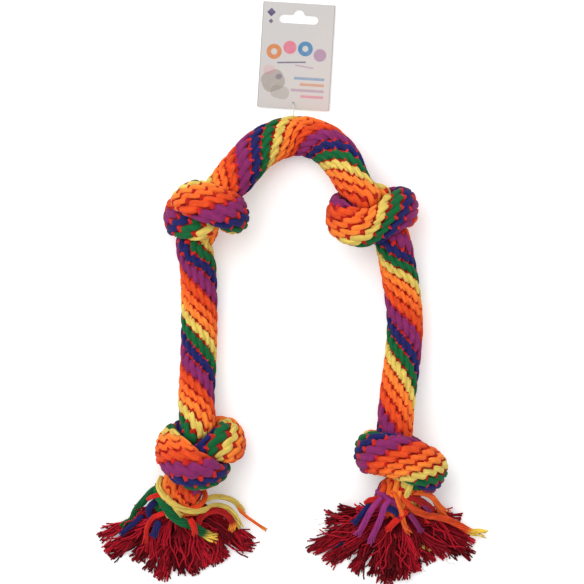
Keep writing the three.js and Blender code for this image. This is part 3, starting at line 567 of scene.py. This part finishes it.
    def tube(self, s, strand, across, depth, half_width, half_thick, sides, share=1):
        """Rings of a tube that runs along a strand's place in the lay, as wide as the lay leaves room."""
        ring = np.arange(sides) / sides * TURN
        middle = TURN * lay_place(strand) / STRAND_COUNT - self.at(self.turn, s)
        reach = np.maximum(self.reach_at(s, middle), LEAST_REACH)
        stretch = 1 - (self.at(self.bend, s) * self.direction_at(s, middle)).sum(-1) * reach
        stretch = np.clip(stretch, *STRETCH_LIMITS)
        pitch = self.at(self.lay, s) * stretch / STRAND_COUNT
        arc = TURN * reach / STRAND_COUNT
        widen = share * pitch * arc / np.hypot(pitch, arc) / BAND_WIDTH
        slant = np.arctan2(arc, pitch)
        outline = [np.sign(wave) * np.abs(wave) ** SECTION_SQUARENESS for wave in (np.cos(ring), np.sin(ring))]
        offset = (across[:, None] + half_width * outline[0]) * widen[:, None]
        place = s[:, None] + offset * (np.sin(slant) / stretch)[:, None]
        angle = middle[:, None] + offset * (np.cos(slant) / reach)[:, None]
        return self.point(place, angle, depth[:, None] - half_thick * outline[1])

    def ply(self, strand, number, start, end):
        """One of a strand's two plies, wound round the other."""
        s = np.linspace(start, end, int((end - start) / PLY_STEP) + 2)
        turn = (2 * self.notch_phase(s, strand) + TURN * number) / PLY_COUNT
        depth = PLY_HALF_THICK + PLY_DEPTH_THROW * (1 - np.cos(turn)) ** 2
        across = PLY_SIDE_THROW * np.sin(turn)
        share = STRAND_WIDTHS[strand]
        return s, self.tube(s, strand, across, depth, PLY_HALF_WIDTH, PLY_HALF_THICK, PLY_SIDES, share)

    def red_cord(self, groove, start, end):
        """The cord in a groove: it comes up in the notches between plies and sinks elsewhere."""
        s = np.linspace(start, end, int((end - start) / CORD_STEP) + 2)
        shown = np.abs(np.sin(self.notch_phase(s, groove))) ** CORD_SHOWN_POWER
        depth = CORD_LOW_DEPTH + (CORD_HIGH_DEPTH - CORD_LOW_DEPTH) * shown
        return s, self.tube(s, groove, 0 * s, depth, CORD_HALF_WIDTH, CORD_HALF_THICK, CORD_SIDES)

    def core(self, start, end):
        """A dark tube below the lay, so that nothing shows through its grooves; its dark colour is painted shade
        for their depths.
        """
        s = np.linspace(start, end, int((end - start) / CORE_STEP) + 2)
        angle = np.broadcast_to(np.arange(CORE_SIDES) / CORE_SIDES * TURN, (len(s), CORE_SIDES))
        return s, self.point(np.repeat(s[:, None], CORE_SIDES, 1), angle, CORE_DEPTH)


def add_object(name, data):
    made = bpy.data.objects.new(name, data)
    bpy.context.scene.collection.objects.link(made)
    return made


class Tubes:
    """Gathers closed tubes into one mesh, each with its dye and its place along its own line."""

    def __init__(self):
        self.points, self.faces, self.dyes, self.grain, self.count = [], [], [], [], 0

    def add(self, rings, dye, along, shade=1.0):
        """A tube with one dye, or a dye for each ring."""
        n, m = rings.shape[:2]
        self.points.append(rings.reshape(-1, 3))
        i, k = np.meshgrid(np.arange(n - 1), np.arange(m), indexing="ij")
        a, b = i * m + k, i * m + (k + 1) % m
        self.faces.append(np.stack([a, b, b + m, a + m], -1).reshape(-1, 4) + self.count)
        for end, flip in ((0, 1), (n - 1, -1)):
            middle = end * m + np.arange(m)[::flip]
            for j in range(1, m - 2, 2):
                self.faces.append(np.array([[middle[0], middle[j + 2], middle[j + 1], middle[j]]]) + self.count)
        colour = np.ones((n, m, 4))
        colour[:, :, :3] = (np.broadcast_to(dye, (n, 3)) * shade)[:, None]
        self.dyes.append(colour.reshape(-1, 4))
        around = np.broadcast_to(np.arange(m) / m, (n, m))
        lengths = np.broadcast_to(np.asarray(along)[:, None], (n, m))
        self.grain.append(np.stack([around, lengths, np.full((n, m), len(self.points))], -1).reshape(-1, 3))
        self.count += n * m

    def build(self, name, material):
        mesh = bpy.data.meshes.new(name)
        points, faces = np.vstack(self.points) * MM, np.vstack(self.faces)
        mesh.vertices.add(len(points))
        mesh.vertices.foreach_set("co", points.astype(np.float32).ravel())
        mesh.loops.add(faces.size)
        mesh.loops.foreach_set("vertex_index", faces.astype(np.int32).ravel())
        mesh.polygons.add(len(faces))
        mesh.polygons.foreach_set("loop_start", np.arange(0, faces.size, 4, dtype=np.int32))
        mesh.update(calc_edges=True)
        # The colour is the dye times its shade; in the yarn fans it also holds painted shade.
        dye = mesh.attributes.new("dye", "FLOAT_COLOR", "POINT")
        dye.data.foreach_set("color", np.vstack(self.dyes).astype(np.float32).ravel())
        grain = mesh.attributes.new("grain", "FLOAT_VECTOR", "POINT")
        grain.data.foreach_set("vector", np.vstack(self.grain).astype(np.float32).ravel())
        mesh.polygons.foreach_set("use_smooth", np.ones(len(faces), bool))
        mesh.materials.append(material)
        mesh.update()
        return add_object(name, mesh)


class Shading:
    """A material's nodes, made and joined by short calls."""

    def __init__(self, name, roughness, specular):
        self.material = bpy.data.materials.new(name)
        self.material.use_nodes = True
        self.tree = self.material.node_tree
        self.shader = self.tree.nodes["Principled BSDF"]
        self.set("Roughness", roughness)
        self.set("Specular IOR Level", specular)

    def join(self, source, target):
        self.tree.links.new(source, target)

    def feed(self, socket, value):
        if isinstance(value, bpy.types.NodeSocket):
            self.join(value, socket)
        else:
            socket.default_value = value

    def set(self, name, value):
        self.feed(self.shader.inputs[name], value)

    def attribute(self, name):
        node = self.tree.nodes.new("ShaderNodeAttribute")
        node.attribute_name = name
        return node

    def place(self):
        return self.tree.nodes.new("ShaderNodeTexCoord").outputs["Object"]

    def apart(self, vector):
        node = self.tree.nodes.new("ShaderNodeSeparateXYZ")
        self.join(vector, node.inputs[0])
        return node.outputs

    def vector(self, operation, a, b=None, scale=None):
        node = self.tree.nodes.new("ShaderNodeVectorMath")
        node.operation = operation
        self.feed(node.inputs[0], a)
        if b is not None:
            self.feed(node.inputs[1], b)
        if scale is not None:
            self.feed(node.inputs["Scale"], scale)
        return node.outputs["Value"] if operation == "LENGTH" else node.outputs["Vector"]

    def value(self, operation, a, b):
        node = self.tree.nodes.new("ShaderNodeMath")
        node.operation = operation
        self.feed(node.inputs[0], a)
        self.feed(node.inputs[1], b)
        return node.outputs[0]

    def noise(self, vector, scale, detail=2.0):
        node = self.tree.nodes.new("ShaderNodeTexNoise")
        node.inputs["Scale"].default_value = scale
        node.inputs["Detail"].default_value = detail
        self.join(vector, node.inputs["Vector"])
        return node.outputs["Fac"]

    def ramp(self, value, low, high, to_low, to_high):
        node = self.tree.nodes.new("ShaderNodeMapRange")
        for name, number in (("From Min", low), ("From Max", high), ("To Min", to_low), ("To Max", to_high)):
            node.inputs[name].default_value = number
        self.join(value, node.inputs["Value"])
        return node.outputs["Result"]

    def mix(self, share, a, b):
        node = self.tree.nodes.new("ShaderNodeMix")
        node.data_type = "RGBA"
        self.join(share, node.inputs["Factor"])
        for socket, value in ((node.inputs[6], a), (node.inputs[7], b)):  # the colour sockets
            self.feed(socket, (*value, 1) if isinstance(value, tuple) else value)
        return node.outputs[2]

    def bump(self, height, strength, distance):
        node = self.tree.nodes.new("ShaderNodeBump")
        node.inputs["Strength"].default_value = strength
        node.inputs["Distance"].default_value = distance
        self.join(height, node.inputs["Height"])
        self.set("Normal", node.outputs["Normal"])


def yarn_material(name, specular, sheen):
    """Dyed cotton: fibres along each tube, soft blotches of the dye, and a little sheen."""
    look = Shading(name, COTTON_ROUGHNESS, specular)
    look.set("Sheen Weight", sheen)
    look.set("Sheen Roughness", SHEEN_ROUGHNESS)
    stretched = look.vector("MULTIPLY", look.attribute("grain").outputs["Vector"], GRAIN_SCALE)
    fibres = look.noise(stretched, 1, detail=3)
    blotches = look.noise(look.place(), BLOTCH_SCALE)
    shade = look.value(
        "MULTIPLY", look.ramp(fibres, *NOISE_SPAN, *GRAIN_SHADES), look.ramp(blotches, *NOISE_SPAN, *BLOTCH_SHADES)
    )
    look.set("Base Color", look.vector("SCALE", look.attribute("dye").outputs["Color"], scale=shade))
    look.bump(fibres, strength=0.4, distance=GRAIN_HEIGHT * MM)
    return look.material


def card_material():
    """Coated paperboard with a plain design of discs, bars and soft patches on its front, and painted shade along
    its sides.
    """
    look = Shading("printed_card", roughness=0.6, specular=0.35)
    place = look.place()
    local = look.vector("SUBTRACT", place, (CARD_HOLE[0] * MM, CARD_HOLE[1] * MM, 0))
    local = turned(look, look.vector("MULTIPLY", local, (1 / MM, 1 / MM, 0)), -CARD_TURN)
    across, along, _ = look.apart(local)
    warm = look.ramp(look.value("SUBTRACT", across, along), *PAPER_WARMTH, 0, 1)
    mottled = look.noise(place, PAPER_SCALE, detail=4)
    paper = look.mix(warm, CARD_PAPER, CARD_WARM_PAPER)
    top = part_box("header_card")[1][2]
    front = look.value("GREATER_THAN", look.apart(place)[2], top - CARD_LEAF * MM / 2)
    blur = look.noise(place, WEAR_SCALE, detail=3)
    for centre, half, radius, turn, dye, cover, hole in PRINT_SHAPES:
        mask = shape_mask(look, local, centre, half, radius, turn)
        if hole:
            mask = look.value("SUBTRACT", mask, shape_mask(look, local, centre, half, hole, turn))
        worn = look.value("MULTIPLY", mask, look.ramp(blur, *NOISE_SPAN, cover * PRINT_WEAR, cover))
        paper = look.mix(look.value("MULTIPLY", worn, front), paper, dye)
    # Painted shade: the card's face darkens towards its two sides.
    from_middle = look.value("ABSOLUTE", across, 0)
    edge = look.ramp(from_middle, CARD_WIDTH / 2 - EDGE_WIDTH, CARD_WIDTH / 2, 1, PAINTED_EDGE_SHADE)
    shade = look.value("MULTIPLY", edge, look.ramp(mottled, *NOISE_SPAN, *PAPER_SHADES))
    look.set("Base Color", look.vector("SCALE", paper, scale=shade))
    look.bump(mottled, strength=0.15, distance=PAPER_HEIGHT * MM)
    return look.material


def turned(look, vector, degrees):
    """The vector turned about Z."""
    node = look.tree.nodes.new("ShaderNodeVectorRotate")
    node.rotation_type = "Z_AXIS"
    node.inputs["Angle"].default_value = math.radians(degrees)
    look.join(vector, node.inputs["Vector"])
    return node.outputs["Vector"]


def shape_mask(look, local, centre, half, radius, turn):
    """1 inside a rounded rectangle, 0 outside."""
    away = turned(look, look.vector("SUBTRACT", local, (*centre, 0)), -turn)
    beyond = look.vector("SUBTRACT", look.vector("ABSOLUTE", away), (*half, 0))
    distance = look.vector("LENGTH", look.vector("MAXIMUM", beyond, (0, 0, 0)))
    return look.ramp(distance, radius - PRINT_SOFTNESS, radius + PRINT_SOFTNESS, 1, 0)


def nylon_material():
    """Cloudy clear nylon for the tag pin."""
    look = Shading("clear_nylon", roughness=0.35, specular=0.5)
    look.set("Transmission Weight", NYLON_CLEARNESS)
    cloudy = look.noise(look.place(), NYLON_SCALE, detail=3)
    look.set("Base Color", look.mix(look.ramp(cloudy, *NOISE_SPAN, 0, 1), *NYLON_DYES))
    look.bump(cloudy, strength=0.2, distance=NYLON_HEIGHT * MM)
    return look.material


def dress_rope(rope, material):
    """The rope in five pieces, split where the bodies meet."""
    spans = [
        ("left_neck_lay", rope.s[0], rope.left_neck),
        ("left_leg_cord", rope.left_neck, rope.left_hinge),
        ("arch_cord", rope.left_hinge, rope.right_hinge),
        ("right_leg_cord", rope.right_hinge, rope.right_neck),
        ("right_neck_lay", rope.right_neck, rope.s[-1]),
    ]
    made = {}
    for name, start, end in spans:
        tubes = Tubes()
        s, rings = rope.core(start, end)
        tubes.add(rings, CORE_PAINTED_SHADE, s)
        for strand in range(STRAND_COUNT):
            for number in range(PLY_COUNT):
                s, rings = rope.ply(strand, number, start, end)
                tubes.add(rings, DYES[strand], s)
            s, rings = rope.red_cord(strand + 0.5, start, end)
            tubes.add(rings, DARK_CORD_DYE if strand in DARK_GROOVES else CORD_DYE, s)
        made[name] = tubes.build(name, material)
    return made


def fan_of_yarn(name, hinge, reach, shares, material, seed):
    """Tufts of wavy yarns from a neck out to the fan's edge, in layers, with strays and hairs on top, and painted
    shade near the neck and on the lowest tufts.
    """
    chance = np.random.default_rng(seed)
    angles, lengths = np.array(shares).T
    tubes = Tubes()
    # Painted shade: each tuft yarn's dye darkens towards the neck.
    painted_root_shade = PAINTED_ROOT_SHADE + (1 - PAINTED_ROOT_SHADE) * ease(np.linspace(0, 1, YARN_STEPS) / ROOT_SHARE)
    dye_and_painted_root_shade = painted_root_shade[:, None] * np.array(YARN_DYE)

    def add_tube(line, length, half_width, dye, shade=1.0):
        tubes.add(round_tube(line, half_width, YARN_SIDES), dye, np.linspace(0, length, len(line)), shade)

    for spacing, short, long, low, high in TUFT_LAYERS:
        for tuft in np.arange(angles[0] + TUFT_EDGES[0], angles[-1] - TUFT_EDGES[1], spacing):
            aim = tuft + chance.uniform(-TUFT_DRIFT, TUFT_DRIFT) * spacing
            bend = chance.normal(0, TUFT_BEND)
            tip = reach * np.interp(aim + bend / 2, angles, lengths) * chance.uniform(short, long)
            layer = chance.uniform(low, high)
            # Painted shade: the lower a tuft lies, the darker it is, on top of its random tone.
            shade = chance.uniform(*TUFT_SHADES) * (PAINTED_DEEP_SHADE + (1 - PAINTED_DEEP_SHADE) * layer)
            for _ in range(YARNS_PER_TUFT):
                length = tip * (1 - TUFT_UNEVENNESS * chance.uniform() ** 2)
                height = layer + chance.normal(0, TUFT_LAYER_SPREAD)
                line = yarn_line(chance, hinge, reach, aim, bend, length, height, 1)
                add_tube(line, length, YARN_HALF_WIDTH, dye_and_painted_root_shade, shade * chance.uniform(*YARN_SHADES))
    for _ in range(STRAY_YARNS):
        aim = chance.uniform(angles[0] + STRAY_EDGE, angles[-1] - STRAY_EDGE)
        length = reach * np.interp(aim, angles, lengths) * chance.uniform(*STRAY_SHARES)
        bend, layer = chance.normal(0, STRAY_BEND), chance.uniform(*STRAY_LAYERS)
        line = yarn_line(chance, hinge, reach, aim, bend, length, layer, STRAY_UNREST)
        add_tube(line, length, YARN_HALF_WIDTH, YARN_DYE, STRAY_SHADE)
    for _ in range(HAIRS):
        aim = chance.uniform(angles[0], angles[-1])
        length = reach * np.interp(aim, angles, lengths) * chance.uniform(*HAIR_SHARES)
        bend, layer = chance.normal(0, HAIR_BEND), chance.uniform(*HAIR_LAYERS)
        line = yarn_line(chance, hinge, reach, aim, bend, length, layer, HAIR_UNREST)
        add_tube(line, length, HAIR_HALF_WIDTH, HAIR_DYE)
    return tubes.build(name, material)


def yarn_line(chance, hinge, reach, aim, bend, length, layer, unrest):
    """One yarn's line from the neck outward."""
    t = np.linspace(0, 1, YARN_STEPS)
    root = chance.uniform(*YARN_ROOTS)
    away = root + (length - root) * t
    turn = np.radians(aim + bend * (t**BEND_POWER - 0.5))
    aside = chance.normal(0, ROOT_SPREAD) * (1 - t) ** 2 + chance.normal(0, TIP_SPREAD) * t**TIP_POWER
    aside = aside + chance.normal(0, CURL) * (np.maximum(t - CURL_START, 0) / (1 - CURL_START)) ** 2
    lift = chance.normal(0, LIFT_SPREAD) * np.ones_like(t)
    for _ in range(YARN_WAVES):
        wavelength, phase = chance.uniform(*WAVELENGTHS), chance.uniform(0, TURN)
        turns = away / wavelength * TURN
        aside = aside + np.sin(turns + phase) * ease(t * 2) * chance.uniform(*WAVES_ASIDE) * unrest
        lift = lift + np.cos(turns + phase * 2) * chance.uniform(*WAVES_UP) * unrest
    slope = (1 - np.clip(away / reach, 0, 1)) ** FAN_SLOPE_POWER
    height = FAN_TIP_HEIGHT + (FAN_NECK_HEIGHT - FAN_TIP_HEIGHT) * slope
    x = hinge[0] + np.cos(turn) * away - np.sin(turn) * aside
    y = hinge[1] - FAN_SET_BACK + np.sin(turn) * away + np.cos(turn) * aside
    z = np.maximum(layer * height + lift, YARN_HALF_WIDTH)
    return np.stack([x, y, z], 1)


def round_tube(line, half_width, sides, taper=0.8):
    """Rings about a line, a little thinner at its end."""
    _, normals, across = carried_frames(line)
    ring = np.arange(sides) / sides * TURN
    width = half_width * np.linspace(1, taper, len(line))[:, None, None]
    out = normals[:, None] * np.cos(ring)[None, :, None] + across[:, None] * np.sin(ring)[None, :, None]
    return line[:, None] + out * width


def loose_strand(name, dye, half_width, tip_dye, route, material, seed):
    """A strand out of the lay: a flat, softly twisted bundle of fibres that frays at its tip.

    Returns the piece, its route in metres and its length in metres.
    """
    chance = np.random.default_rng(seed)
    line, along = catmull_rom(route, 1.0)
    tangents = np.gradient(line, axis=0)
    sides = unit(np.cross(tangents, (0, 0, 1)))
    ups = unit(np.cross(sides, tangents))
    t = along / along[-1]
    dyes = np.broadcast_to(DYES[dye], (len(line), 3))
    if tip_dye:
        dyes = dyes + (np.array(tip_dye) - dyes) * ease((t - TIP_DYE_START) / TIP_DYE_SHARE)[:, None]
    tubes = Tubes()
    fibre = half_width * FIBRE_SHARE
    widening = START_GIRTH + (1 - START_GIRTH) * ease(t / START_SHARE)
    girth = (half_width - fibre) * widening * (1 + TIP_GIRTH * ease((t - TIP_START) / (1 - TIP_START)))
    for i in range(FIBRES_PER_STRAND):
        inner = i < INNER_FIBRES
        turn = TURN * (i / (INNER_FIBRES if inner else FIBRES_PER_STRAND - INNER_FIBRES))
        sway = FIBRE_SWAY * np.sin(along * SWAY_RATE + SWAY_STEP * i)
        turn = turn + TURN * FIBRE_TURNS_PER_MM * along + sway
        out = girth * (INNER_SHARE if inner else 1)
        wound = line + sides * (np.cos(turn) * out)[:, None] + ups * (np.sin(turn) * out * STRAND_FLATNESS)[:, None]
        fray = np.clip(chance.normal(0, 1, 3), -FRAY_LIMIT, FRAY_LIMIT) * half_width * FRAY_SHARE
        wound = wound + fray * (ease((t - FRAY_START) / (1 - FRAY_START)) ** 2)[:, None]
        wound[:, 2] = np.maximum(wound[:, 2], fibre)
        last = len(line) if i % WHOLE_FIBRES == 0 else int(len(line) * chance.uniform(SHORTEST_FIBRE, 1))
        rings = round_tube(wound[:last], fibre, FIBRE_SIDES, FIBRE_TAPER)
        tubes.add(rings, dyes[:last], along[:last], chance.uniform(*FIBRE_SHADES))
    return tubes.build(name, material), (line * MM).tolist(), along[-1] * MM


def place_camera():
    """The photograph's view, from straight above."""
    data = bpy.data.cameras.new("camera")
    camera = add_object("camera", data)
    camera.location = (PHOTO_MIDDLE[0] * MM, PHOTO_MIDDLE[1] * MM, CAMERA_HEIGHT * MM)
    half = PHOTO_PIXELS * PIXEL_SIZE / 2
    data.sensor_fit = "HORIZONTAL"
    data.angle = 2 * math.atan(half / (CAMERA_HEIGHT - SCALE_HEIGHT))
    bpy.context.scene.camera = camera


def light_and_floor():
    """A bright even studio with one soft lamp, and a floor that looks white but keeps the shadow."""
    world = bpy.data.worlds.new("studio")
    bpy.context.scene.world = world
    world.use_nodes = True
    background = world.node_tree.nodes["Background"].inputs
    background["Color"].default_value = (1, 1, 1, 1)
    background["Strength"].default_value = WORLD_STRENGTH
    lamp = bpy.data.lights.new("soft_lamp", "AREA")
    lamp.size = LAMP_SIDE
    lamp.energy = LAMP_POWER
    lamp_object = add_object("soft_lamp", lamp)
    lamp_object.location = LAMP_PLACE
    lamp_object.rotation_euler = (-Vector(LAMP_PLACE)).to_track_quat("-Z", "Y").to_euler()
    mesh = bpy.data.meshes.new("floor")
    side = FLOOR_SIDE / 2
    mesh.from_pydata([(-side, -side, 0), (side, -side, 0), (side, side, 0), (-side, side, 0)], [], [(0, 1, 2, 3)])
    floor = add_object("floor", mesh)
    look = Shading("white_floor", roughness=0.9, specular=0.1)
    look.set("Base Color", FLOOR_WHITE)
    look.set("Emission Color", (1, 1, 1, 1))
    seen = look.tree.nodes.new("ShaderNodeLightPath").outputs["Is Camera Ray"]
    look.set("Emission Strength", look.value("MULTIPLY", seen, FLOOR_GLOW))
    mesh.materials.append(look.material)


def bend_with(piece, a, b, rope, hinge, along, reach):
    """Bakes the piece's place into its mesh; the piece is not bent over the rope past the hinge."""
    ends = [rope.at(rope.centres, np.array([hinge + along * step]))[0] for step in reach]
    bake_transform(piece)


bpy.context.scene.view_settings.view_transform = "Standard"
place_camera()
rope = Rope()
yarn = yarn_material("dyed_cotton", *ROPE_GLOSS)
frayed_yarn = yarn_material("frayed_cotton", *FAN_GLOSS)
pieces = dress_rope(rope, yarn)

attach(pieces["arch_cord"], "arch")
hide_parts("arch_rope", "upper_left_knot", "upper_right_knot")
sides = [
    ("left", rope.left_hinge, rope.left_neck, -1, LEFT_LEG_LENGTH),
    ("right", rope.right_hinge, rope.right_neck, 1, RIGHT_LEG_LENGTH),
]
necks = {}
for side, hinge, neck, along, length in sides:
    leg, lay = pieces[side + "_leg_cord"], pieces[side + "_neck_lay"]
    bend_with(leg, "arch", side + "_leg", rope, hinge, along, LEG_BEND)
    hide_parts(side + "_leg_rope", "lower_" + side + "_knot")
    bend_with(lay, side + "_leg", side + "_tassel", rope, neck, along, NECK_BEND)
    necks[side] = (side + "_leg", side + "_tassel", rope, neck, along, NECK_BEND)

light_and_floor()
fans = [
    ("left", LEFT_NECK_HINGE, LEFT_FAN_REACH, LEFT_FAN_SHARES),
    ("right", RIGHT_NECK_HINGE, RIGHT_FAN_REACH, RIGHT_FAN_SHARES),
]
for number, (side, hinge, reach, shares) in enumerate(fans):
    fan = fan_of_yarn(side + "_yarn_fan", hinge, reach, shares, frayed_yarn, number)
    bend_with(fan, *necks[side])
    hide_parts(side + "_tassel_yarn")
for number, (name, (dye, half_width, tip_dye, route)) in enumerate(LOOSE_STRANDS.items()):
    strand, path, length = loose_strand(name, dye, half_width, tip_dye, route, yarn, number)
    bend_with(strand, *necks[name.split("_")[0]])
    node = name.replace("_loose_", "_strand_")
    if node in bpy.data.objects:
        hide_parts(node)
for node, material in (("header_card", card_material()), ("tag_pin", nylon_material())):
    for place in bpy.data.objects[node].material_slots:
        place.material = material
